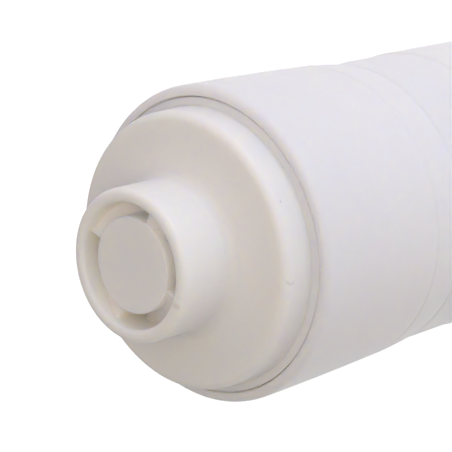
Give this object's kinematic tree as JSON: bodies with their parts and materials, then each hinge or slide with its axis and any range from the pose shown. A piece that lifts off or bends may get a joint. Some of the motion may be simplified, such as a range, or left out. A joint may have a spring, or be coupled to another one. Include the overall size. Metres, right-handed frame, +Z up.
{
  "type": "inline ultrafiltration cartridge",
  "caption": "White sealed tubular water filter with a plain round neck and a ramped, ring-shaped mouth at each end; hollow-fibre bundle potted inside.",
  "frame": {"origin": "centre of the outlet neck's rim, on which the cartridge stands, at the bottom of its box", "axes": "+Z up along the cartridge axis, from the outlet end to the inlet mouth; -Y faces the side that the picture shows"},
  "size_m": [0.0508, 0.0508, 0.26],
  "materials": {
    "tube": "satin moulded, faint mottling",
    "caps": "fine matte moulded",
    "inner_plastic": "natural moulded",
    "felt": "needled non-woven",
    "net": "extruded mesh",
    "fibres": "dull porous",
    "resin": "cast, cut face",
    "seals": "matte"
  },
  "bodies": {
    "root": {"housing_tube": "tube", "inlet_end_cap": "caps", "outlet_end_cap": "caps", "membrane_shell": "inner_plastic", "shell_top_guard": "inner_plastic", "pad_retainer": "inner_plastic", "inlet_diffuser": "inner_plastic", "prefilter_pad": "felt", "bundle_net": "net", "fibre_bundle": "fibres", "potting_head": "resin", "seal_ring_lower": "seals", "seal_ring_upper": "seals"}
  },
  "joints": []
}
